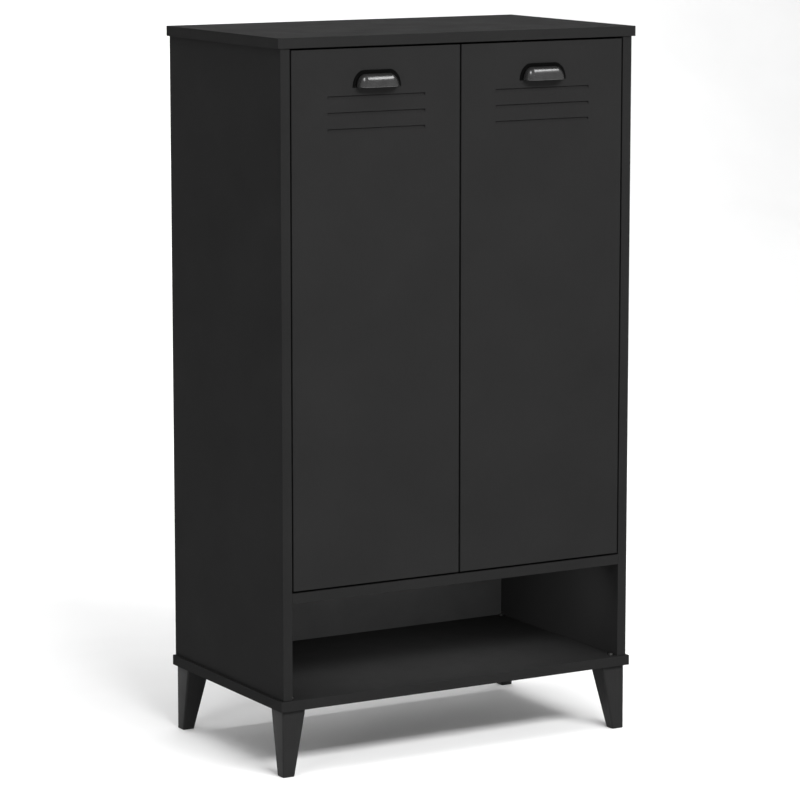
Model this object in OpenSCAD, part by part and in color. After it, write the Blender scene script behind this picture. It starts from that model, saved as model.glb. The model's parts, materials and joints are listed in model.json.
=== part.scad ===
// Two-door shoe cabinet on four tapered legs, with an open bay under the doors.
// X runs along the front, Y from front to back, Z up. The origin is on the floor, under the
// middle of everything, pulls included. Hinged doors turn about vertical pins inside their cups.

/* [Cabinet] */
// Width of the top and bottom boards
cabinet_w = 600; // [560:1:700]
// Depth of the top and bottom boards
cabinet_d = 350; // [340:1:400]
// Height from the floor to the top
cabinet_h = 1068; // [1050:1:1120]
// Thickness of every board
board_t = 15; // [15:0.5:16]
// How far the boards stand past each side panel
side_overhang = 5; // [3:0.5:8]
// How far the boards stand in front of the doors
front_overhang = 2.8; // [1:0.1:5]
// Clear height of the open bay
bay_h = 142.5; // [130:0.5:150]
// Distance from the front of the doors to the front of the shelves behind them
shelf_setback = 30; // [28:1:50]

/* [Doors] */
// Gap between a door and the side panel
side_gap = 2.5; // [2:0.1:3]
// Gap between the two doors
centre_gap = 3; // [2:0.1:4]
// Gap above and below a door
end_gap = 3; // [2:0.1:5]
// Length of a louvre groove
louvre_w = 160; // [100:1:200]
// Height of a louvre groove's slope
louvre_h = 5; // [3:0.5:8]
// Depth of a louvre groove under its upper edge
louvre_deep = 2.5; // [1.5:0.1:4]
// Distance from one louvre groove to the next
louvre_pitch = 23.3; // [15:0.1:30]
// Distance from the cabinet's top down to the first louvre groove
louvre_drop = 84.6; // [84:0.1:120]

/* [Pulls] */
// Width of a pull over its rim
pull_w = 79; // [76:1:90]
// Height of a pull
pull_h = 24.5; // [24:0.5:30]
// How far a pull stands out from its door
pull_out = 17; // [16:0.5:24]
// Distance from the cabinet's top down to the top of a pull
pull_drop = 49; // [30:0.5:55]

/* [Legs] */
// Height of a leg
leg_h = 99; // [80:1:110]
// Side of a leg's square top
leg_top = 38; // [36:1:42]
// Side of a leg's square foot
leg_foot = 19.3; // [16:0.1:30]
// Distance from the side of the board in to the leg
leg_inset_x = 5.5; // [4:0.5:8]
// Distance from the front of the board in to a front leg
leg_inset_front = 6; // [4:0.5:8]
// Distance from the back of the board in to a rear leg
leg_inset_back = 3; // [2:0.5:6]

/* [Hinges] */
// Distance from a door's top or bottom end to the middle of a hinge
hinge_end = 100; // [90:1:104]
// Distance from a door's hinged edge in to the hinge pin
pin_setback = 11.5; // [11:0.5:12]
// Distance from a door's face in to the hinge pin
pin_depth = 6; // [5.9:0.1:6]

/* [Hidden] */

$fn = 48;
cut = 1;                       // how far a cutter runs past the face it opens
fit = 0.1;                     // radial gap round anything that sits still in a bore
pin_play = 0.05;               // radial gap of the arm's eye on the hinge pin

// Planes of the carcass
face_y = -(cabinet_d - front_overhang - pull_out) / 2;   // front of doors and side panels
board_y = face_y - front_overhang;                       // front of top and bottom boards
panel_d = cabinet_d - front_overhang;                    // depth of a side panel
inner_x = cabinet_w / 2 - side_overhang - board_t;       // inner face of a side panel
panel_z = leg_h + board_t;                               // foot of a side panel
panel_top = cabinet_h - board_t;
fixed_z = panel_z + bay_h;                               // underside of the fixed shelf
closet_z = fixed_z + board_t;                            // floor of the space behind the doors

// Rear panel, held in a groove all round
back_t = 3;
back_inset = 8;
groove = 5;
groove_slack = 0.2;
back_y = panel_d - back_inset - back_t;                  // its front, measured from the doors' face
board_back = back_y - groove_slack;                      // rear edge of everything in front of it

// Doors
door_w = inner_x - side_gap - centre_gap / 2;
door_z = closet_z + end_gap;
door_h = panel_top - end_gap - door_z;
louvre_count = 3;
middle_u = side_gap + door_w / 2;                        // louvres and pull sit on the door's middle

// Shelves behind the doors, evenly spaced, with one spare row of pin holes above and below each
shelf_count = 4;
shelf_bay = (panel_top - closet_z - shelf_count * board_t) / (shelf_count + 1);
shelf_slack = 0.5;
pin_hole_step = 32;
pin_hole_depth = 10;
shelf_pin_r = 2.5;
shelf_pin_l = 16;
shelf_pin_in = 9;
pin_rows = [90, 280];                                    // distances back from the doors' face

// Joinery
cam_r = 7.5;
cam_depth = 12.5;
cam_centre = 24;                                         // from the joint to the cam's middle
cam_rows = [60, 290];
cam_thread_r = 2.5;
cam_thread_l = 10.5;
cam_shank_r = 3.4;
cam_shank_l = 23;
cam_clear = 2;                                           // room for the dowel's tip inside the cam
cross_t = 1.2;                                           // driver slots of cams and screws
dowel_r = 4;
dowel_l = 30;
dowel_in = 10;                                           // length held by the flat side of a joint
dowel_rows = [110, 240];
confirmat_rows = [75, 275];
confirmat_r = 2.6;
confirmat_l = 50;
confirmat_head_r = 4.5;
confirmat_head_l = 4;

// Leg fixings, measured from the leg's two upright faces
leg_round = 3;
leg_foot_round = 2.5;
leg_screw_u = 18.4;
leg_screw_v = [9, 15];                                   // front legs, rear legs
leg_dowel_uv = [19, 28];
leg_screw_r = 2.5;
leg_screw_in = 32;
leg_head_r = 3.4;
leg_head_h = 2.2;
leg_socket_r = 1.7;                                      // hexagonal socket in the screw's head
leg_socket_in = 1.3;
foot_bevel = 1;                                          // bevel round the foot's underside

// Concealed hinge: u is measured from the side panel's inner face, v from the doors' face
cup_r = 17.5;
cup_tab = 3;                                             // door edge to the rim of the cup
cup_depth = 12.4;
cup_bore = 12.5;
cup_wall = 0.8;
cup_floor = 0.6;
cup_u = side_gap + cup_tab + cup_r;
flange_t = 1.2;
flange_r = 19;
wing_u = 6;                                              // screw line, past the cup's middle
wing_z = 24;
wing_r = 6;
cup_screw_r = 1.75;
cup_screw_l = 11;
cup_head_h = 1.4;
pin_u = side_gap + pin_setback;
pin_r = 1.25;
eye_r = 2.4;
lug_z = [9, 11.5];
lug_half = 2.8;
arm_half_z = 7;
arm_t = 2.2;
channel_u = 13.6;                                        // outer face of the arm's channel
channel_v = [31, 84];
channel_half_z = 8;
channel_t = 1.4;
channel_deep = 9;
ridge_half_z = 6.2;
ridge_u = 11.4;
ridge_v = [38, 82];
plate_t = 2;
plate_v = [40, 68];
plate_half_z = 26;
plate_screw_v = 54;
plate_screw_z = 16;
plate_screw_r = 3;
plate_screw_in = 11;
plate_head_r = 4.2;
plate_head_h = 1.8;
arm_screw_rows = [47, 70];
arm_screw_r = 2.9;
arm_head_r = 4.6;
arm_head_h = 2;
arm_screw_in = 5;
spring_t = 0.4;
spring_half_z = 5;
spring_half_l = 9;
spring_rise = 1.2;                                       // height of the leaf's arch
spring_arch_r = 36;
spring_shift = 4;                                        // from the cup's middle, away from the pin
hinge_z = [door_z + hinge_end, door_z + door_h - hinge_end];

// Centre line of the arm, out of the cup, round the door's edge and back to the channel
arm_path = [
  [pin_u, pin_depth], [pin_u + 13, 6.1], [pin_u + 18, 10], [pin_u + 18.5, 17],
  [pin_u + 14.5, 24], [18, 28.8],
  [channel_u - arm_t / 2, channel_v[0] + 2]
];

// Pull, drawn on the door's middle with its top at z = 0 and the door's face at y = 0
rim_t = 1.2;
pull_wall = 2;
pull_flange = 5.5;                                       // flat rim left showing round the dome
pull_flat = 20;                                          // half length of the dome's straight part
pull_slices = 12;
pull_screw_x = 25;
pull_screw_z = -pull_h * 0.68;
pull_screw_r = 2;
pull_screw_in = 4.5;
pull_head_r = 4;
pull_head_h = 2.4;
boss_r = 3.6;
boss_l = 8;

black_board = [0.15, 0.15, 0.15];
black_front = [0.19, 0.19, 0.19];
black_leg = [0.2, 0.2, 0.2];
pewter = [0.35, 0.35, 0.36];
steel = [0.72, 0.72, 0.74];
beech = [0.78, 0.62, 0.42];
hardboard = [0.1, 0.1, 0.1];

// ---------------------------------------------------------------- placing

// Left-hand corner frame: x = u from the left panel's inner face, y = v from the doors' face
module left_corner() translate([-inner_x, face_y, 0]) children();
module right_corner() mirror([1, 0, 0]) left_corner() children();
module both_corners() {
  left_corner() children();
  right_corner() children();
}

// A cylinder along +X or +Y from the given point
module rod_x(at, r, l) translate(at) rotate([0, 90, 0]) cylinder(r = r, h = l);
module rod_y(at, r, l) translate(at) rotate([-90, 0, 0]) cylinder(r = r, h = l);
module rod_z(at, r, l) translate(at) cylinder(r = r, h = l);

// A block between two opposite corners
module block(low, high) translate(low) cube(high - low);

// Driver slot to cut into a head whose top is at x = 0
module cross_slot(l) for (a = [0, 90]) rotate([a, 0, 0])
  cube([2 * cross_t, l, cross_t], center = true);

// ---------------------------------------------------------------- joinery

// Bores for a wooden dowel that stands on a joint at z = 0 and runs up and down
module dowel_pin(gap = 0) rod_z([0, 0, dowel_in - dowel_l], dowel_r + gap, dowel_l);

// Cam joint along +X from the joint plane, cam opening towards -Z
module at_cam() translate([cam_centre, 0, -board_t / 2]) children();
module cam_bores() {
  at_cam() translate([0, 0, -cut]) cylinder(r = cam_r + fit, h = cam_depth + cut);
  rod_x([-cut, 0, 0], cam_shank_r + fit, cam_centre + cut);
}
module cam_thread_bore() rod_x([-cam_thread_l - fit, 0, 0], cam_thread_r + fit, cam_thread_l + cut);
module cam_lock() difference() {
  at_cam() cylinder(r = cam_r, h = cam_depth);
  rod_x([0, 0, 0], cam_shank_r + 2 * fit, cam_centre + cam_clear);
  at_cam() rotate([0, -90, 0]) cross_slot(cam_r);
}
module cam_dowel() {
  rod_x([-cam_thread_l, 0, 0], cam_thread_r, cam_thread_l);
  rod_x([0, 0, 0], cam_shank_r, cam_shank_l);
}

// Places of the cam joints on the left: down into the side panel's top, and along the fixed shelf
module top_cams() for (v = cam_rows)
  translate([-board_t / 2, v, panel_top]) rotate([0, 90, 0]) rotate([180, 0, 0]) children();
module shelf_cams() for (v = cam_rows)
  translate([0, v, fixed_z + board_t / 2]) children();

// Places of the wooden dowels on the left: side panel's ends, and lying in the fixed shelf's ends
module top_dowels() for (v = dowel_rows)
  translate([-board_t / 2, v, panel_top]) children();
module foot_dowels() for (v = dowel_rows)
  translate([-board_t / 2, v, panel_z]) rotate([180, 0, 0]) children();
module shelf_dowels() for (v = dowel_rows)
  translate([0, v, fixed_z + board_t / 2]) rotate([0, -90, 0]) children();

// ---------------------------------------------------------------- legs

leg_side = cabinet_w / 2 - leg_inset_x;                  // upright outer face
leg_front = board_y + leg_inset_front;
leg_rear = board_y + cabinet_d - leg_inset_back;

// Corner frames of the legs: x and y run inwards from the two upright faces
module leg_at(side, rear) mirror([side, 0, 0])
  translate([-leg_side, rear ? leg_rear : leg_front, 0]) mirror([0, rear ? 1 : 0, 0]) children();
module at_leg_screw(rear) translate([leg_screw_u, leg_screw_v[rear], leg_h]) children();
module at_leg_dowel() translate([leg_dowel_uv[0], leg_dowel_uv[1], leg_h]) children();
module leg_screw(gap = 0) rod_z([0, 0, -leg_screw_in - gap], leg_screw_r + gap,
                                leg_screw_in + board_t + gap);

module leg_slice(size, round, z, h) for (x = [round, size - round], y = [round, size - round])
  translate([x, y, z]) cylinder(r = round, h = h, $fn = 32);
module leg(side, rear) color(black_leg) leg_at(side, rear) difference() {
  hull() {
    leg_slice(leg_top, leg_round, leg_h - 1, 1);
    leg_slice(leg_foot, leg_foot_round, foot_bevel, 1);
    translate([foot_bevel, foot_bevel, 0])
      leg_slice(leg_foot - 2 * foot_bevel, leg_foot_round - foot_bevel, 0, 1);
  }
  at_leg_screw(rear) leg_screw(fit);
  at_leg_dowel() dowel_pin(fit);
}

// ---------------------------------------------------------------- carcass

module top_board() color(black_board) difference() {
  block([-cabinet_w / 2, board_y, panel_top], [cabinet_w / 2, board_y + cabinet_d, cabinet_h]);
  both_corners() {
    top_cams() cam_thread_bore();
    top_dowels() dowel_pin(fit);
  }
  back_sheet(groove_slack);
}

module bottom_board() color(black_board) difference() {
  block([-cabinet_w / 2, board_y, leg_h], [cabinet_w / 2, board_y + cabinet_d, panel_z]);
  both_corners() {
    foot_dowels() dowel_pin(fit);
    confirmats(fit);
  }
  for (side = [0, 1], rear = [0, 1]) leg_at(side, rear) {
    at_leg_screw(rear) leg_screw(fit);
    at_leg_dowel() dowel_pin(fit);
  }
  back_sheet(groove_slack);
}

// Screws up through the bottom board, their heads sunk in its underside
module confirmats(gap = 0) for (v = confirmat_rows) translate([-board_t / 2, v, leg_h]) {
  rod_z([0, 0, -gap], confirmat_head_r + gap, confirmat_head_l + gap);
  rod_z([0, 0, 0], confirmat_r + gap, confirmat_l + gap);
}

// The side panel is drawn for the left
module side_panel() difference() {
  block([-board_t, 0, panel_z], [0, panel_d, panel_top]);
  top_cams() cam_bores();
  shelf_cams() cam_thread_bore();
  top_dowels() dowel_pin(fit);
  foot_dowels() dowel_pin(fit);
  shelf_dowels() dowel_pin(fit);
  confirmats(fit);
  for (z = hinge_z, side = [-1, 1])
    rod_x([-plate_screw_in - fit, plate_screw_v, z + side * plate_screw_z], plate_screw_r + fit,
          plate_screw_in + cut);
  for (i = [1:shelf_count], step = [-1:1], v = pin_rows)
    rod_x([-pin_hole_depth, v, shelf_z(i) - shelf_pin_r + step * pin_hole_step],
          shelf_pin_r + fit, pin_hole_depth + cut);
  translate([inner_x, -face_y, 0]) back_sheet(groove_slack);
}
module left_side_panel() color(black_board) left_corner() side_panel();
module right_side_panel() color(black_board) right_corner() side_panel();

// Rear panel, or with a gap the groove that it slides in
module back_sheet(gap = 0)
  block([-inner_x - groove + groove_slack - gap, face_y + back_y - gap / 2,
         panel_z - groove + groove_slack - gap],
        [inner_x + groove - groove_slack + gap, face_y + back_y + back_t + gap / 2,
         panel_top + groove - groove_slack + gap]);
module back_panel() color(hardboard) back_sheet();

module fixed_shelf() color(black_board) difference() {
  block([-inner_x, face_y, fixed_z], [inner_x, face_y + board_back, closet_z]);
  both_corners() {
    shelf_cams() cam_bores();
    shelf_dowels() dowel_pin(fit);
  }
}

function shelf_z(i) = closet_z + i * shelf_bay + (i - 1) * board_t;
module shelf(i) color(black_board)
  block([-inner_x + shelf_slack, face_y + shelf_setback, shelf_z(i)],
        [inner_x - shelf_slack, face_y + board_back, shelf_z(i) + board_t]);
module shelf_1() shelf(1);
module shelf_2() shelf(2);
module shelf_3() shelf(3);
module shelf_4() shelf(4);

module front_left_leg() leg(0, 0);
module front_right_leg() leg(1, 0);
module rear_left_leg() leg(0, 1);
module rear_right_leg() leg(1, 1);

// ---------------------------------------------------------------- fixings

module leg_screws() color(steel) for (side = [0, 1], rear = [0, 1])
  leg_at(side, rear) at_leg_screw(rear) {
    leg_screw();
    difference() {
      rod_z([0, 0, board_t], leg_head_r, leg_head_h);
      rod_z([0, 0, board_t + leg_head_h - leg_socket_in], leg_socket_r, leg_socket_in + cut, $fn = 6);
    }
  }
module confirmat_screws() color(steel) both_corners() confirmats();
module cam_locks() color(steel) both_corners() {
  top_cams() cam_lock();
  shelf_cams() cam_lock();
}
module cam_dowels() color(steel) both_corners() {
  top_cams() cam_dowel();
  shelf_cams() cam_dowel();
}
module wood_dowels() color(beech) {
  both_corners() {
    top_dowels() dowel_pin();
    foot_dowels() dowel_pin();
    shelf_dowels() dowel_pin();
  }
  for (side = [0, 1], rear = [0, 1]) leg_at(side, rear) at_leg_dowel() dowel_pin();
}
module shelf_pins() color(steel) both_corners() for (i = [1:shelf_count], v = pin_rows)
  rod_x([-shelf_pin_in, v, shelf_z(i) - shelf_pin_r], shelf_pin_r, shelf_pin_l);

// ---------------------------------------------------------------- doors

// Louvre groove: cut square under its upper edge, then sloping out to the door's face
module louvre_cutter(z) translate([middle_u - louvre_w / 2, 0, z]) rotate([90, 0, 90])
  linear_extrude(louvre_w)
    polygon([[-cut, 0], [louvre_deep, 0], [-cut, -louvre_h * (1 + cut / louvre_deep)]]);

// The door is drawn for the left, hinged on its left edge
module door() difference() {
  block([side_gap, 0, door_z], [side_gap + door_w, board_t, door_z + door_h]);
  for (i = [0:louvre_count - 1]) louvre_cutter(cabinet_h - louvre_drop - i * louvre_pitch);
  for (side = [-1, 1]) rod_y([middle_u + side * pull_screw_x, -cut, pull_z + pull_screw_z],
                             pull_screw_r + fit, board_t + 2 * cut);
  for (z = hinge_z) {
    rod_y([cup_u, board_t - cup_bore, z], cup_r + fit, cup_bore + cut);
    cup_screw_places(z) rod_y([0, board_t - cup_screw_l - fit, 0], cup_screw_r + fit,
                              cup_screw_l + cut);
  }
}
module left_door() color(black_front) left_corner() door();
module right_door() color(black_front) right_corner() door();

// ---------------------------------------------------------------- pulls

pull_z = cabinet_h - pull_drop;
module at_pull() translate([middle_u, 0, pull_z]) children();

// Half outline: straight along the middle, a quarter ellipse at either end
function pull_arc(half, rise) = [for (start = [0, 90], a = [0:7.5:90])
  [(start == 0 ? pull_flat : -pull_flat) + (half - pull_flat) * cos(start + a), rise * sin(start + a)]];

// Domed half cup, as horizontal slices. inset makes it smaller all round, for the hollow, and opens
// it below and behind.
module pull_dome(inset) {
  end = pull_w / 2 - pull_flat - pull_flange - inset;
  tall = pull_h - pull_flange - inset;
  behind = min(inset, cut);
  deep = pull_out - inset + behind;
  hull() for (i = [0:pull_slices]) {
    angle = 90 * i / (pull_slices + 0.5);
    translate([0, behind, tall * sin(angle) - pull_h - (i == 0 ? inset : 0)]) mirror([0, 1, 0])
      linear_extrude(0.01) polygon(pull_arc(pull_flat + end * cos(angle), deep * cos(angle)));
  }
}
module pull_rim() translate([0, 0, -pull_h]) rotate([90, 0, 0])
  linear_extrude(rim_t) polygon(pull_arc(pull_w / 2, pull_h));
// Right-hand screw boss, joined to the dome's side wall
module pull_boss() intersection() {
  union() {
    rod_y([pull_screw_x, -boss_l, pull_screw_z], boss_r, boss_l);
    block([pull_screw_x, -boss_l, pull_screw_z - boss_r], [pull_w / 2, 0, pull_screw_z + boss_r]);
  }
  pull_dome(pull_wall / 4);
}
module pull() difference() {
  union() {
    difference() {
      union() {
        pull_rim();
        pull_dome(0);
      }
      pull_dome(pull_wall);
    }
    pull_boss();
    mirror([1, 0, 0]) pull_boss();
  }
  for (side = [-1, 1]) rod_y([side * pull_screw_x, -pull_screw_in - fit, pull_screw_z],
                             pull_screw_r + fit, pull_screw_in + fit + cut);
}
module pull_screws() for (side = [-1, 1]) {
  rod_y([side * pull_screw_x, -pull_screw_in, pull_screw_z], pull_screw_r, board_t + pull_screw_in);
  difference() {
    rod_y([side * pull_screw_x, board_t, pull_screw_z], pull_head_r, pull_head_h);
    translate([side * pull_screw_x, board_t + pull_head_h, pull_screw_z]) rotate([0, 0, 90])
      cross_slot(pull_head_r);
  }
}
module left_pull() color(pewter) left_corner() at_pull() pull();
module right_pull() color(pewter) right_corner() at_pull() pull();
module left_pull_screws() color(steel) left_corner() at_pull() pull_screws();
module right_pull_screws() color(steel) right_corner() at_pull() pull_screws();

// ---------------------------------------------------------------- hinges, drawn for the left

module cup_screw_places(z) for (side = [-1, 1])
  translate([cup_u + wing_u, 0, z + side * wing_z]) children();

module hinge_cup(z) difference() {
  union() {
    difference() {
      union() {
        rod_y([cup_u, board_t - cup_depth, z], cup_r, cup_depth);
        rod_y([cup_u, board_t, z], flange_r, flange_t);
        cup_screw_places(z) rod_y([0, board_t, 0], wing_r, flange_t);
        block([cup_u + wing_u - wing_r, board_t, z - wing_z],
              [cup_u + wing_u + wing_r, board_t + flange_t, z + wing_z]);
      }
      rod_y([cup_u, board_t - cup_depth + cup_floor, z], cup_r - cup_wall, cup_depth + cut);
      cup_screw_places(z) rod_y([0, board_t - cut, 0], cup_screw_r + fit, flange_t + 2 * cut);
    }
    for (side = [-1, 1]) mirror([0, 0, side < 0 ? 1 : 0]) translate([0, 0, side * z])
      block([pin_u - lug_half, board_t - cup_depth + cup_floor / 2, lug_z[0]],
            [pin_u + lug_half, pin_depth + lug_half, lug_z[1]]);
  }
  rod_z([pin_u, pin_depth, z - lug_z[1] - cut], pin_r + pin_play, 2 * (lug_z[1] + cut));
}
module hinge_pins() for (z = hinge_z)
  rod_z([pin_u, pin_depth, z - lug_z[1]], pin_r, 2 * lug_z[1]);
module cup_screws() for (z = hinge_z) cup_screw_places(z) {
  rod_y([0, board_t - cup_screw_l, 0], cup_screw_r, cup_screw_l + flange_t);
  rod_y([0, board_t + flange_t, 0], 2 * cup_screw_r, cup_head_h);
}

// Leaf that presses on the arm near the closed position: a shallow arch on the cup's floor
module hinge_spring(z) {
  floor_v = board_t - cup_depth + cup_floor;
  translate([cup_u + spring_shift, floor_v, z - spring_half_z])
    linear_extrude(2 * spring_half_z) intersection() {
      translate([0, spring_rise - spring_arch_r]) difference() {
        circle(r = spring_arch_r, $fn = 180);
        circle(r = spring_arch_r - spring_t, $fn = 180);
      }
      translate([-spring_half_l, 0]) square([2 * spring_half_l, 2 * spring_rise]);
    }
}
module hinge_springs() for (z = hinge_z) hinge_spring(z);

module strap(a, b) {
  step = b - a;
  translate(a) rotate(atan2(step[1], step[0])) translate([0, -arm_t / 2]) square([norm(step), arm_t]);
}
module hinge_arm(z) difference() {
  union() {
    translate([0, 0, z - arm_half_z]) linear_extrude(2 * arm_half_z) {
      for (i = [0:len(arm_path) - 2]) strap(arm_path[i], arm_path[i + 1]);
      for (i = [1:len(arm_path) - 1]) translate(arm_path[i]) circle(r = arm_t / 2);
      translate(arm_path[0]) circle(r = eye_r);
    }
    difference() {
      block([channel_u - channel_deep, channel_v[0], z - channel_half_z],
            [channel_u, channel_v[1], z + channel_half_z]);
      block([channel_u - channel_deep - cut, channel_v[0] - cut, z - channel_half_z + channel_t],
            [channel_u - channel_t, channel_v[1] + cut, z + channel_half_z - channel_t]);
    }
  }
  rod_z([pin_u, pin_depth, z - arm_half_z - cut], pin_r + pin_play, 2 * (arm_half_z + cut));
  for (v = arm_screw_rows) rod_x([channel_u - 2 * channel_t, v, z], arm_screw_r + fit, 3 * channel_t);
}
module hinge_plate(z) difference() {
  union() {
    block([0, plate_v[0], z - plate_half_z], [plate_t, plate_v[1], z + plate_half_z]);
    block([0, ridge_v[0], z - ridge_half_z], [ridge_u, ridge_v[1], z + ridge_half_z]);
  }
  for (side = [-1, 1]) rod_x([-cut, plate_screw_v, z + side * plate_screw_z],
                             plate_screw_r + fit, plate_t + 2 * cut);
  for (v = arm_screw_rows) rod_x([channel_u - channel_t - arm_screw_in - fit, v, z],
                                 arm_screw_r + fit, arm_screw_in + cut);
}
module plate_screw() difference() {
  union() {
    rod_x([-plate_screw_in, 0, 0], plate_screw_r, plate_screw_in + plate_t);
    rod_x([plate_t, 0, 0], plate_head_r, plate_head_h);
  }
  translate([plate_t + plate_head_h, 0, 0]) cross_slot(plate_head_r);
}
module arm_screw() difference() {
  union() {
    rod_x([channel_u - channel_t - arm_screw_in, 0, 0], arm_screw_r, arm_screw_in + channel_t);
    rod_x([channel_u, 0, 0], arm_head_r, arm_head_h);
  }
  translate([channel_u + arm_head_h, 0, 0]) cross_slot(arm_head_r);
}

module left_lower_hinge_cup() color(steel) left_corner() hinge_cup(hinge_z[0]);
module left_upper_hinge_cup() color(steel) left_corner() hinge_cup(hinge_z[1]);
module right_lower_hinge_cup() color(steel) right_corner() hinge_cup(hinge_z[0]);
module right_upper_hinge_cup() color(steel) right_corner() hinge_cup(hinge_z[1]);
module left_lower_hinge_arm() color(steel) left_corner() hinge_arm(hinge_z[0]);
module left_upper_hinge_arm() color(steel) left_corner() hinge_arm(hinge_z[1]);
module right_lower_hinge_arm() color(steel) right_corner() hinge_arm(hinge_z[0]);
module right_upper_hinge_arm() color(steel) right_corner() hinge_arm(hinge_z[1]);
module left_lower_hinge_plate() color(steel) left_corner() hinge_plate(hinge_z[0]);
module left_upper_hinge_plate() color(steel) left_corner() hinge_plate(hinge_z[1]);
module right_lower_hinge_plate() color(steel) right_corner() hinge_plate(hinge_z[0]);
module right_upper_hinge_plate() color(steel) right_corner() hinge_plate(hinge_z[1]);
module left_hinge_pins() color(steel) left_corner() hinge_pins();
module right_hinge_pins() color(steel) right_corner() hinge_pins();
module left_hinge_springs() color(steel) left_corner() hinge_springs();
module right_hinge_springs() color(steel) right_corner() hinge_springs();
module left_cup_screws() color(steel) left_corner() cup_screws();
module right_cup_screws() color(steel) right_corner() cup_screws();
module hinge_plate_screws() color(steel) both_corners() for (z = hinge_z, side = [-1, 1])
  translate([0, plate_screw_v, z + side * plate_screw_z]) plate_screw();
module hinge_arm_screws() color(steel) both_corners() for (z = hinge_z, v = arm_screw_rows)
  translate([0, v, z]) arm_screw();

// ---------------------------------------------------------------- drawing

top_board();
bottom_board();
left_side_panel();
right_side_panel();
fixed_shelf();
shelf_1();
shelf_2();
shelf_3();
shelf_4();
back_panel();
front_left_leg();
front_right_leg();
rear_left_leg();
rear_right_leg();
leg_screws();
confirmat_screws();
cam_locks();
cam_dowels();
wood_dowels();
shelf_pins();
left_door();
right_door();
left_pull();
right_pull();
left_pull_screws();
right_pull_screws();
left_lower_hinge_cup();
left_upper_hinge_cup();
right_lower_hinge_cup();
right_upper_hinge_cup();
left_lower_hinge_arm();
left_upper_hinge_arm();
right_lower_hinge_arm();
right_upper_hinge_arm();
left_lower_hinge_plate();
left_upper_hinge_plate();
right_lower_hinge_plate();
right_upper_hinge_plate();
left_hinge_pins();
right_hinge_pins();
left_hinge_springs();
right_hinge_springs();
left_cup_screws();
right_cup_screws();
hinge_plate_screws();
hinge_arm_screws();
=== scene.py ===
# Looks of a black two-door shoe cabinet on four tapered legs. Metres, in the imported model's frame.
import json
import math

import bmesh
import bpy
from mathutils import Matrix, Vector


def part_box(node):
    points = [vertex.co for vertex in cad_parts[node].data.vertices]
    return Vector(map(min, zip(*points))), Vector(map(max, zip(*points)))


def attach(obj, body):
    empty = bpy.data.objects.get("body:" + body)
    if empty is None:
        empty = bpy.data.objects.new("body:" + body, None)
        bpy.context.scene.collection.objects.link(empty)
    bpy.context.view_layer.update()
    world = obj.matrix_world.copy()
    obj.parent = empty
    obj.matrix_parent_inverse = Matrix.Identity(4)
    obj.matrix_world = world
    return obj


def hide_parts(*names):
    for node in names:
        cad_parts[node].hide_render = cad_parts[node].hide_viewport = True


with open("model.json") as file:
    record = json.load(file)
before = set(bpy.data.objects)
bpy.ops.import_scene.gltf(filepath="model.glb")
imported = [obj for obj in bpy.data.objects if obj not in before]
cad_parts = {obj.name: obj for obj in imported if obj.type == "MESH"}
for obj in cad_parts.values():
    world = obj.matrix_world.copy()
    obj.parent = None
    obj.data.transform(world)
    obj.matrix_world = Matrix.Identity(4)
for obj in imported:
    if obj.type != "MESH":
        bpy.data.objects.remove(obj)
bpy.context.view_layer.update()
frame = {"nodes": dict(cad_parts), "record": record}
nodes = frame["nodes"]
bodies = frame["record"]["behaviour"]["bodies"]
body_of = {node: body for body, members in bodies.items() for node in members}
slot_of = {part["node"]: part["material_slot"] for part in frame["record"]["subparts"]}
MM = 0.001


# ---------------------------------------------------------------- node helpers

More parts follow.
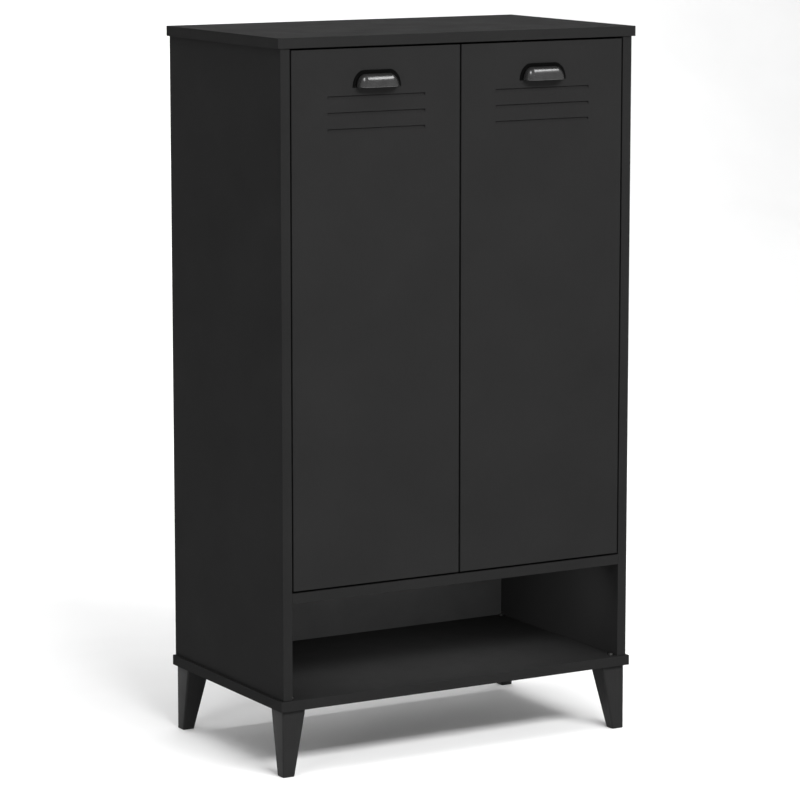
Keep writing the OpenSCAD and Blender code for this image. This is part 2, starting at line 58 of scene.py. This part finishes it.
class Shader:
    """One Principled material, its texture nodes read in the row frame, in metres."""

    def __init__(self, name, roughness, specular=0.5, metallic=0.0, coat=0.0, coat_roughness=0.1):
        self.material = bpy.data.materials.new(name)
        self.material.use_nodes = True
        self.tree = self.material.node_tree
        self.shader = self.tree.nodes["Principled BSDF"]
        self.shader.inputs["Roughness"].default_value = roughness
        self.shader.inputs["Specular IOR Level"].default_value = specular
        self.shader.inputs["Metallic"].default_value = metallic
        self.shader.inputs["Coat Weight"].default_value = coat
        self.shader.inputs["Coat Roughness"].default_value = coat_roughness
        self.place = self.tree.nodes.new("ShaderNodeTexCoord").outputs["Object"]
        self.normal = None

    def link(self, value, socket):
        if hasattr(value, "is_output"):
            self.tree.links.new(value, socket)
        else:
            socket.default_value = value

    def stretch(self, scale):
        node = self.tree.nodes.new("ShaderNodeMapping")
        node.inputs["Scale"].default_value = scale
        self.tree.links.new(self.place, node.inputs["Vector"])
        return node.outputs["Vector"]

    def noise(self, scale, detail=2.0, rough=0.5, where=None, distortion=0.0):
        node = self.tree.nodes.new("ShaderNodeTexNoise")
        node.inputs["Scale"].default_value = scale
        node.inputs["Detail"].default_value = detail
        node.inputs["Roughness"].default_value = rough
        node.inputs["Distortion"].default_value = distortion
        self.tree.links.new(where or self.place, node.inputs["Vector"])
        return node.outputs["Fac"]

    def cells(self, scale, where=None):
        node = self.tree.nodes.new("ShaderNodeTexVoronoi")
        node.inputs["Scale"].default_value = scale
        self.tree.links.new(where or self.place, node.inputs["Vector"])
        return node.outputs["Distance"]

    def span(self, value, low, high, to_low=0.0, to_high=1.0):
        node = self.tree.nodes.new("ShaderNodeMapRange")
        self.link(value, node.inputs["Value"])
        node.inputs["From Min"].default_value = low
        node.inputs["From Max"].default_value = high
        node.inputs["To Min"].default_value = to_low
        node.inputs["To Max"].default_value = to_high
        return node.outputs["Result"]

    def math(self, kind, a, b):
        node = self.tree.nodes.new("ShaderNodeMath")
        node.operation = kind
        self.link(a, node.inputs[0])
        self.link(b, node.inputs[1])
        return node.outputs["Value"]

    def mix(self, factor, a, b):
        node = self.tree.nodes.new("ShaderNodeMix")
        node.data_type = "RGBA"
        self.link(factor, node.inputs["Factor"])
        for value, socket in ((a, node.inputs[6]), (b, node.inputs[7])):
            self.link((*value, 1) if isinstance(value, tuple) else value, socket)
        return node.outputs[2]

    def edge(self, radius):
        """About 1 on an edge and 0 on a flat: how far the rounded normal leans from the true one."""
        bevel = self.tree.nodes.new("ShaderNodeBevel")
        bevel.samples = 6
        bevel.inputs["Radius"].default_value = radius
        here = self.tree.nodes.new("ShaderNodeNewGeometry").outputs["Normal"]
        dot = self.tree.nodes.new("ShaderNodeVectorMath")
        dot.operation = "DOT_PRODUCT"
        self.tree.links.new(bevel.outputs["Normal"], dot.inputs[0])
        self.tree.links.new(here, dot.inputs[1])
        return self.span(dot.outputs["Value"], 0.995, 0.8)

    def hollow(self, reach):
        """1 in the open, falling towards 0 in the corner of a groove no wider than the reach."""
        node = self.tree.nodes.new("ShaderNodeAmbientOcclusion")
        node.samples = 8
        node.only_local = True
        node.inputs["Distance"].default_value = reach
        return self.span(node.outputs["AO"], 0.45, 0.95)

    def bump(self, height, strength, distance):
        node = self.tree.nodes.new("ShaderNodeBump")
        node.inputs["Strength"].default_value = strength
        node.inputs["Distance"].default_value = distance
        self.link(height, node.inputs["Height"])
        if self.normal:
            self.tree.links.new(self.normal, node.inputs["Normal"])
        self.normal = node.outputs["Normal"]
        self.tree.links.new(self.normal, self.shader.inputs["Normal"])

    def done(self, color, roughness):
        self.link(color, self.shader.inputs["Base Color"])
        self.link(roughness, self.shader.inputs["Roughness"])
        return self.material


def grey(value, warm=0.0):
    return (value * (1 + warm), value, value * (1 - warm))


# ---------------------------------------------------------------- materials

def decor_board(name, base, roughness, specular, groove=0.0):
    """Matte black paper decor: fine pearl emboss, faint cloudiness, edges rubbed a little lighter.

    With a groove width, shade is painted into the colour, darker in the corners of grooves and other
    hollows.
    """
    s = Shader(name, roughness, specular)
    cloud = s.noise(7, 4, 0.55)
    pearl = s.noise(1500, 2, 0.6)
    fibre = s.noise(1, 3, 0.6, s.stretch((900, 900, 60)))
    rubbed = s.math("MULTIPLY", s.edge(0.7 * MM), s.span(s.noise(60, 3), 0.35, 0.65, 0.25, 0.8))
    tone = s.mix(s.span(cloud, 0.3, 0.7), grey(base * 0.93), grey(base * 1.07))
    tone = s.mix(s.span(pearl, 0.35, 0.75, 0, 0.35), tone, grey(base * 1.5))
    tone = s.mix(s.span(fibre, 0.55, 0.8, 0, 0.3), tone, grey(base * 0.6))
    tone = s.mix(rubbed, tone, grey(base * 2.0))
    if groove:
        # Painted shade: the colour falls towards a fifth of the base in the corners of grooves and
        # hollows.
        tone = s.mix(s.hollow(groove), grey(base * 0.2), tone)
    smear = s.span(s.noise(16, 3, 0.6), 0.3, 0.7, -0.04, 0.05)
    rough = s.math("ADD", s.span(pearl, 0.3, 0.7, roughness - 0.03, roughness + 0.05), smear)
    s.bump(pearl, 0.22, 0.12 * MM)
    s.bump(fibre, 0.08, 0.08 * MM)
    return s.done(tone, s.math("SUBTRACT", rough, s.math("MULTIPLY", rubbed, 0.12)))


def hardboard(name, base):
    """Thin painted fibreboard: pressed fibres lying every way, slightly mottled."""
    s = Shader(name, 0.7, 0.25)
    fibres = s.noise(420, 5, 0.7, distortion=1.5)
    mottle = s.noise(22, 4, 0.6)
    tone = s.mix(s.span(mottle, 0.3, 0.7), grey(base * 0.85), grey(base * 1.1))
    tone = s.mix(s.span(fibres, 0.5, 0.75, 0, 0.4), tone, grey(base * 1.7))
    s.bump(fibres, 0.25, 0.15 * MM)
    return s.done(tone, s.span(fibres, 0.3, 0.7, 0.6, 0.78))


def lacquer(name, base):
    """Satin black lacquer on turned beech: orange peel, open grain along the leg, worn corners."""
    s = Shader(name, 0.42, 0.1)
    peel = s.noise(480, 2, 0.5)
    grain = s.noise(1, 4, 0.65, s.stretch((520, 520, 26)), 0.6)
    worn = s.math("MULTIPLY", s.edge(0.9 * MM), s.span(s.noise(90, 3), 0.4, 0.65, 0.15, 0.8))
    tone = s.mix(s.span(grain, 0.4, 0.7), grey(base * 1.08), grey(base * 0.86))
    tone = s.mix(worn, tone, grey(base * 1.9))
    s.bump(grain, 0.12, 0.15 * MM)
    s.bump(peel, 0.08, 0.1 * MM)
    rough = s.span(s.noise(28, 3, 0.6), 0.3, 0.7, 0.38, 0.48)
    return s.done(tone, s.math("SUBTRACT", rough, s.math("MULTIPLY", worn, 0.1)))


def pewter(name, face):
    """Dark plated cast metal: mottled, cast grain, the rim by the door much darker and duller, worn
    edges.
    """
    s = Shader(name, 0.24, 0.5, metallic=0.85, coat=0.25, coat_roughness=0.16)
    mottle = s.noise(90, 3, 0.5)
    cast = s.noise(1900, 3, 0.6)
    split = s.tree.nodes.new("ShaderNodeSeparateXYZ")
    s.tree.links.new(s.place, split.inputs["Vector"])
    rim_darkening = s.span(split.outputs["Y"], face - 3 * MM, face - 1.3 * MM)
    rub = s.math("MULTIPLY", s.edge(0.6 * MM), s.span(s.noise(160, 3), 0.35, 0.65, 0.2, 0.7))
    tone = s.mix(s.span(mottle, 0.3, 0.7), grey(0.08), grey(0.1))
    tone = s.mix(s.span(cast, 0.55, 0.75, 0, 0.25), tone, grey(0.055))
    tone = s.mix(rub, tone, grey(0.16))
    # Within 1.3 mm of the door, fading out by 3 mm, the colour goes almost black, with less coat and
    # gloss and more roughness.
    tone = s.mix(rim_darkening, tone, grey(0.005))
    s.link(s.span(rim_darkening, 0, 1, 0.25, 0.02), s.shader.inputs["Coat Weight"])
    s.link(s.span(rim_darkening, 0, 1, 0.5, 0.1), s.shader.inputs["Specular IOR Level"])
    s.bump(mottle, 0.03, 0.1 * MM)
    s.bump(cast, 0.05, 0.03 * MM)
    rough = s.span(s.noise(220, 3), 0.3, 0.7, 0.2, 0.27)
    return s.done(tone, s.math("ADD", rough, s.math("MULTIPLY", rim_darkening, 0.2)))


def plated_steel(name, along):
    """Nickel-plated pressed steel: drawn lines along one axis, dull spots, every edge painted lighter
    as a highlight.
    """
    s = Shader(name, 0.32, 0.5, metallic=1.0)
    lines = s.noise(1, 3, 0.6, s.stretch(along))
    spots = s.noise(130, 4, 0.65)
    painted_edge_highlight = s.edge(0.4 * MM)
    tone = s.mix(s.span(lines, 0.3, 0.7), grey(0.46, 0.01), grey(0.62, 0.015))
    tone = s.mix(s.span(spots, 0.55, 0.8, 0, 0.5), tone, grey(0.34, 0.02))
    # Painted highlight: every edge is lightened towards pale grey.
    tone = s.mix(s.math("MULTIPLY", painted_edge_highlight, 0.6), tone, grey(0.78))
    s.bump(lines, 0.1, 0.05 * MM)
    rough = s.math("ADD", s.span(lines, 0.3, 0.7, 0.24, 0.36), s.span(spots, 0.5, 0.8, 0, 0.15))
    return s.done(tone, rough)


def beech(name):
    """Bare beech: short dark flecks in a pale ground, open end grain."""
    s = Shader(name, 0.6, 0.4)
    grain = s.noise(1, 4, 0.6, s.stretch((1400, 1400, 70)), 0.4)
    flecks = s.cells(1, s.stretch((2600, 2600, 320)))
    tone = s.mix(s.span(grain, 0.3, 0.7), (0.55, 0.36, 0.19), (0.68, 0.49, 0.29))
    tone = s.mix(s.span(flecks, 0.25, 0.1, 0, 0.45), tone, (0.36, 0.2, 0.09))
    s.bump(grain, 0.2, 0.1 * MM)
    return s.done(tone, s.span(grain, 0.3, 0.7, 0.52, 0.68))


def studio_floor(name):
    s = Shader(name, 0.9, 0.1)
    paper = s.noise(3, 3, 0.5)
    s.bump(s.noise(900, 2), 0.05, 0.1 * MM)
    return s.done(s.mix(s.span(paper, 0.3, 0.7), grey(0.9), grey(0.93)), 0.9)


finish = {
    "board": decor_board("decor_board", 0.0124, 0.66, 0.012),
    "door": decor_board("decor_door", 0.0131, 0.64, 0.012, 4 * MM),
    "leg": lacquer("leg_lacquer", 0.0115),
    # Painted light: the back panel's base is about twice the boards', so the bay's back wall reads
    # lighter.
    "back": hardboard("back_hardboard", 0.026),
    "pull": pewter("pull_pewter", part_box("left_pull")[1].y),
    "steel": plated_steel("plated_steel", (1500, 1500, 90)),
    "dowel": beech("bare_beech"),
}


# ---------------------------------------------------------------- mesh helpers

def show(mesh, node, angle=32):
    """Adds a detailed mesh that stands for a CAD node, smooth up to the given angle in degrees."""
    mesh.shade_smooth()
    mesh.set_sharp_from_angle(angle=math.radians(angle))
    piece = bpy.data.objects.new(node + "_piece", mesh)
    bpy.context.scene.collection.objects.link(piece)
    mesh.materials.clear()
    mesh.materials.append(finish[slot_of[node]])
    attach(piece, body_of[node])
    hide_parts(node)
    return piece


def apply_modifiers(piece):
    graph = bpy.context.evaluated_depsgraph_get()
    mesh = bpy.data.meshes.new_from_object(piece.evaluated_get(graph))
    piece.modifiers.clear()
    piece.data = mesh


def softened(node, width, segments, crisp=None):
    """The node's own form with its flats joined up and its sharp edges rounded, save the crisp ones."""
    sharp_from = math.radians(40)
    made = bmesh.new()
    made.from_mesh(nodes[node].data)
    bmesh.ops.remove_doubles(made, verts=made.verts, dist=0.002 * MM)
    bmesh.ops.dissolve_limit(made, angle_limit=math.radians(0.4), verts=made.verts,
                             edges=made.edges, use_dissolve_boundaries=False)
    weight = made.edges.layers.float.new("bevel_weight_edge")
    for edge in made.edges:
        middle = (edge.verts[0].co + edge.verts[1].co) / 2
        sharp = len(edge.link_faces) == 2 and edge.calc_face_angle() > sharp_from
        edge[weight] = float(sharp and not (crisp and crisp(middle)))
    mesh = bpy.data.meshes.new(node + "_form")
    made.to_mesh(mesh)
    made.free()
    piece = show(mesh, node)
    bevel = piece.modifiers.new("edges", "BEVEL")
    bevel.width = width
    bevel.segments = segments
    bevel.limit_method = "WEIGHT"
    bevel.use_clamp_overlap = False
    bevel.miter_outer = "MITER_ARC"
    weighted = piece.modifiers.new("flats", "WEIGHTED_NORMAL")
    weighted.keep_sharp = True
    weighted.weight = 60
    apply_modifiers(piece)
    low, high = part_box(node)
    for vertex in piece.data.vertices:
        for axis in range(3):
            vertex.co[axis] = min(max(vertex.co[axis], low[axis]), high[axis])
    return piece


def inside_outline(node, inset=2 * MM):
    """Tells a board's bores and grooves, which stay crisp, from the edges of its outline."""
    low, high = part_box(node)
    thin = min(range(3), key=lambda i: high[i] - low[i])
    across = [i for i in range(3) if i != thin]
    return lambda at: all(low[i] + inset < at[i] < high[i] - inset for i in across)


def loft(made, rings, close_ring=True):
    """Skins a list of equally long rings of points, and returns the rings of vertices."""
    skins = [[made.verts.new(p) for p in ring] for ring in rings]
    for a, b in zip(skins, skins[1:]):
        count = len(a)
        for i in range(count if close_ring else count - 1):
            j = (i + 1) % count
            made.faces.new((a[i], a[j], b[j], b[i]))
    return skins


# ---------------------------------------------------------------- legs

def rounded_square(low_x, low_y, size, radius, z, steps=8):
    """Corner points of a square with round corners, anticlockwise from its lower right corner."""
    points = []
    middles = ((size - radius, radius, -90), (size - radius, size - radius, 0),
               (radius, size - radius, 90), (radius, radius, 180))
    for x, y, start in middles:
        for i in range(steps + 1):
            a = math.radians(start + 90 * i / steps)
            across, back = x + radius * math.cos(a), y + radius * math.sin(a)
            points.append(Vector((low_x + across, low_y + back, z)))
    return points


def make_leg(node):
    """Square leg with two upright outer faces, tapering in on the other two, its foot bevelled."""
    low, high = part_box(node)
    top, foot, bevel = 38 * MM, 19.3 * MM, 1 * MM
    outer_left = (low.x + high.x) < 0
    outer_front = (low.y + high.y) < 0
    leg_h = high.z

    def ring(z, inset=0.0):
        share = max(0.0, (z - bevel) / (leg_h - bevel))
        size = foot + (top - foot) * share - 2 * inset
        radius = (2.5 + 0.5 * share) * MM - 0.6 * inset
        x = low.x + inset if outer_left else high.x - inset - size
        y = low.y + inset if outer_front else high.y - inset - size
        return rounded_square(x, y, size, radius, z)

    rings = [ring(0, bevel)]
    for i in range(1, 5):
        a = math.radians(90 * i / 4)
        rings.append(ring(bevel * (1 - math.cos(a)), bevel * (1 - math.sin(a))))
    for i in range(1, 15):
        rings.append(ring(bevel + (leg_h - bevel - 0.5 * MM) * i / 14))
    rings.append(ring(leg_h, 0.5 * MM))
    made = bmesh.new()
    skins = loft(made, rings)
    made.faces.new(list(reversed(skins[0])))
    made.faces.new(skins[-1])
    bmesh.ops.recalc_face_normals(made, faces=made.faces)
    mesh = bpy.data.meshes.new(node + "_form")
    made.to_mesh(mesh)
    made.free()
    return show(mesh, node, 50)


# ---------------------------------------------------------------- pulls

def make_pull(node):
    """Cup pull: a flat rim on the door and a domed half cup, hollow and open underneath."""
    low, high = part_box(node)
    middle = (low.x + high.x) / 2
    face, foot = high.y, low.z
    tall, out, half = high.z - low.z, high.y - low.y, (high.x - low.x) / 2
    flat, flange, wall, thick = 20 * MM, 5.5 * MM, 2 * MM, 1.2 * MM
    lip, soft = 0.6 * MM, 0.4 * MM
    made = bmesh.new()
    turns = [math.radians(3 * i) for i in range(31)]

    def arc(reach, rise):
        """Half outline: straight along the middle, a quarter ellipse at either end."""
        right = [(flat + (reach - flat) * math.cos(a), rise * math.sin(a)) for a in turns]
        return right + [(-x, y) for x, y in reversed(right)]

    def place(points):
        """From across, out of the door and up from the pull's foot to the row frame."""
        return [Vector((middle + x, face - y, foot + z)) for x, y, z in points]

    def dome(inset):
        """Arcs round the front from one side to the other, each higher and smaller than the last."""
        rings = []
        for i in range(37):
            a = math.radians(2.5 * i)
            z = max(lip, (tall - flange - inset) * math.sin(a))
            reach = flat + (half - flat - flange - inset) * math.cos(a)
            rings.append(place([(x, y, z) for x, y in arc(reach, (out - inset) * math.cos(a))]))
        return loft(made, rings, close_ring=False)

    outside, inside = dome(0.0), dome(wall)
    for side in (0, -1):
        for a, b, c, d in zip(outside, outside[1:], inside[1:], inside):
            made.faces.new((a[side], b[side], c[side], d[side]))
    left, right = len(turns), len(turns) - 1
    made.faces.new((outside[-1][right], outside[-1][left], inside[-1][left], inside[-1][right]))

    # The lip underneath, rounded from the outer skin to the inner one
    previous, steps = outside[0], 8
    ends = [[outside[0][0]], [outside[0][-1]]]
    for i in range(1, steps + 1):
        turn = math.pi * i / steps
        across, down = (1 - math.cos(turn)) / 2, Vector((0, 0, lip * math.sin(turn)))
        current = inside[0] if i == steps else [made.verts.new(a.co.lerp(b.co, across) - down)
                                                for a, b in zip(outside[0], inside[0])]
        for j in range(len(current) - 1):
            made.faces.new((previous[j], previous[j + 1], current[j + 1], current[j]))
        ends[0].append(current[0])
        ends[1].append(current[-1])
        previous = current
    for end in ends:
        made.faces.new(end)

    # The rim: a flat band behind the dome with its front edge rounded
    def band(inset, y):
        return place([(x, y, z) for x, z in arc(half - inset, tall - inset)])

    under = flange + wall / 2
    bands = [band(under, 0), band(0, 0), band(0, thick - soft)]
    for i in range(1, 6):
        a = math.radians(18 * i)
        bands.append(band(soft * (1 - math.cos(a)), thick - soft + soft * math.sin(a)))
    bands.append(band(under, thick))
    skins = loft(made, bands, close_ring=False)
    for j in range(len(skins[0]) - 1):
        made.faces.new((skins[-1][j], skins[-1][j + 1], skins[0][j + 1], skins[0][j]))
    for end in (0, -1):
        made.faces.new([ring[end] for ring in skins])

    # The screw bosses: round towards the middle, running into the dome's wall on the other side
    boss, bore, height, length = 3.6 * MM, 2.1 * MM, 0.32 * tall, 8 * MM
    screw_x, bore_deep = 25 * MM, 4.6 * MM
    for side in (-1, 1):
        outline = [(boss * math.cos(a), boss * math.sin(a))
                   for a in (math.radians(90 + 7.5 * i) for i in range(25))]
        outline += [(5.6 * MM, -boss), (5.2 * MM, -boss / 2), (4.8 * MM, 0), (4.3 * MM, boss / 2),
                    (3.8 * MM, boss)]

        def ring(y, inset=0.0, hole=False):
            points = []
            for x, z in outline:
                size = bore if hole else math.hypot(x, z) - inset
                turn = math.atan2(z, x)
                along = side * (screw_x + size * math.cos(turn))
                points.append((along, y, height + size * math.sin(turn)))
            return place(points)

        rings = [ring(bore_deep, hole=True), ring(0, hole=True), ring(0), ring(length - soft)]
        for i in range(1, 5):
            a = math.radians(22.5 * i)
            rings.append(ring(length - soft + soft * math.sin(a), soft * (1 - math.cos(a))))
        skins = loft(made, rings)
        made.faces.new(skins[0])
        made.faces.new(skins[-1])

    bmesh.ops.remove_doubles(made, verts=made.verts, dist=0.01 * MM)
    bmesh.ops.recalc_face_normals(made, faces=made.faces)
    mesh = bpy.data.meshes.new(node + "_form")
    made.to_mesh(mesh)
    made.free()
    return show(mesh, node, 42)


# ---------------------------------------------------------------- the object

# Width and steps of the rounded edges, by material
rounding = {
    "board": (0.5 * MM, 3),
    "door": (0.6 * MM, 3),
    "back": (0.3 * MM, 2),
    "steel": (0.15 * MM, 2),
    "dowel": (0.4 * MM, 2),
}

for node in nodes:
    slot = slot_of[node]
    if slot == "leg":
        make_leg(node)
    elif slot == "pull":
        make_pull(node)
    elif slot in ("board", "door"):
        softened(node, *rounding[slot], inside_outline(node))
    else:
        softened(node, *rounding[slot])


# ---------------------------------------------------------------- studio

def make_floor():
    """A pale sheet on the ground that sweeps up behind the object."""
    half, bend_y, bend_r, wall_top, sunk = 9.0, 3.0, 2.0, 7.0, 0.0002
    made = bmesh.new()
    rings = []
    for x in (-half, half):
        ring = [Vector((x, -half, -sunk)), Vector((x, bend_y, -sunk))]
        for i in range(1, 13):
            a = math.radians(90 * i / 12)
            ring.append(Vector((x, bend_y + bend_r * math.sin(a), bend_r * (1 - math.cos(a)))))
        ring.append(Vector((x, bend_y + bend_r, wall_top)))
        rings.append(ring)
    loft(made, rings, close_ring=False)
    bmesh.ops.recalc_face_normals(made, faces=made.faces)
    mesh = bpy.data.meshes.new("studio_floor")
    made.to_mesh(mesh)
    made.free()
    mesh.shade_smooth()
    mesh.materials.append(studio_floor("studio_paper"))
    floor = bpy.data.objects.new("studio_floor", mesh)
    bpy.context.scene.collection.objects.link(floor)


def softbox(name, place, aim, size, power, mirrored=True):
    """An area light in watts; one that is not mirrored leaves no highlight on the metal."""
    light = bpy.data.lights.new(name, "AREA")
    light.shape = "RECTANGLE"
    light.size, light.size_y = size
    light.energy = power
    holder = bpy.data.objects.new(name, light)
    holder.location = place
    holder.rotation_euler = (Vector(aim) - Vector(place)).to_track_quat("-Z", "Y").to_euler()
    holder.visible_glossy = mirrored
    holder.visible_camera = False
    bpy.context.scene.collection.objects.link(holder)


# A high and a low light in front, two above for the pulls' highlights, one beside, one on the wall
# behind, and a small one hidden under the fixed shelf
make_floor()
bay_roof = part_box("fixed_shelf")[0] + Vector((0, 25 * MM, -2 * MM))
softbox("top_right", (1.5, -0.75, 3.6), (-0.1, -0.1, 1.0), (1.6, 0.5), 18)
softbox("key_left", (-1.9, -1.0, 4.5), (0, 0, 0.9), (0.8, 1.7), 30)
softbox("front_high", (0.2, -3.4, 3.1), (0, 0, 0.5), (3.0, 0.9), 215, mirrored=False)
softbox("front_low", (-0.6, -5.6, 0.9), (0, 0, 0.3), (4.0, 1.6), 62, mirrored=False)
softbox("bay_fill", (0, bay_roof.y, bay_roof.z), (0, 0.1, 0.1), (0.42, 0.03), 1.5, mirrored=False)
softbox("left_low", (-4.5, -2.6, 0.9), (0, 0, 0.3), (1.6, 1.6), 58, mirrored=False)
softbox("backdrop", (0, 1.7, 3.6), (0, 4.6, 1.2), (5.0, 0.6), 120)

world = bpy.data.worlds.new("studio")
world.use_nodes = True
world.node_tree.nodes["Background"].inputs["Color"].default_value = (1, 1, 1, 1)
world.node_tree.nodes["Background"].inputs["Strength"].default_value = 0.39
bpy.context.scene.world = world

# The camera stands to the left of the front and a little above, as in the photo
camera = bpy.data.cameras.new("camera")
camera.lens = 163.2
camera.sensor_width = 36
camera.clip_end = 60
holder = bpy.data.objects.new("camera", camera)
holder.location = (-2.699, -4.6536, 1.384)
holder.rotation_euler = (math.radians(90 - 9.25), 0, math.radians(-30.06))
bpy.context.scene.collection.objects.link(holder)
bpy.context.scene.camera = holder
bpy.context.scene.view_settings.view_transform = "Standard"
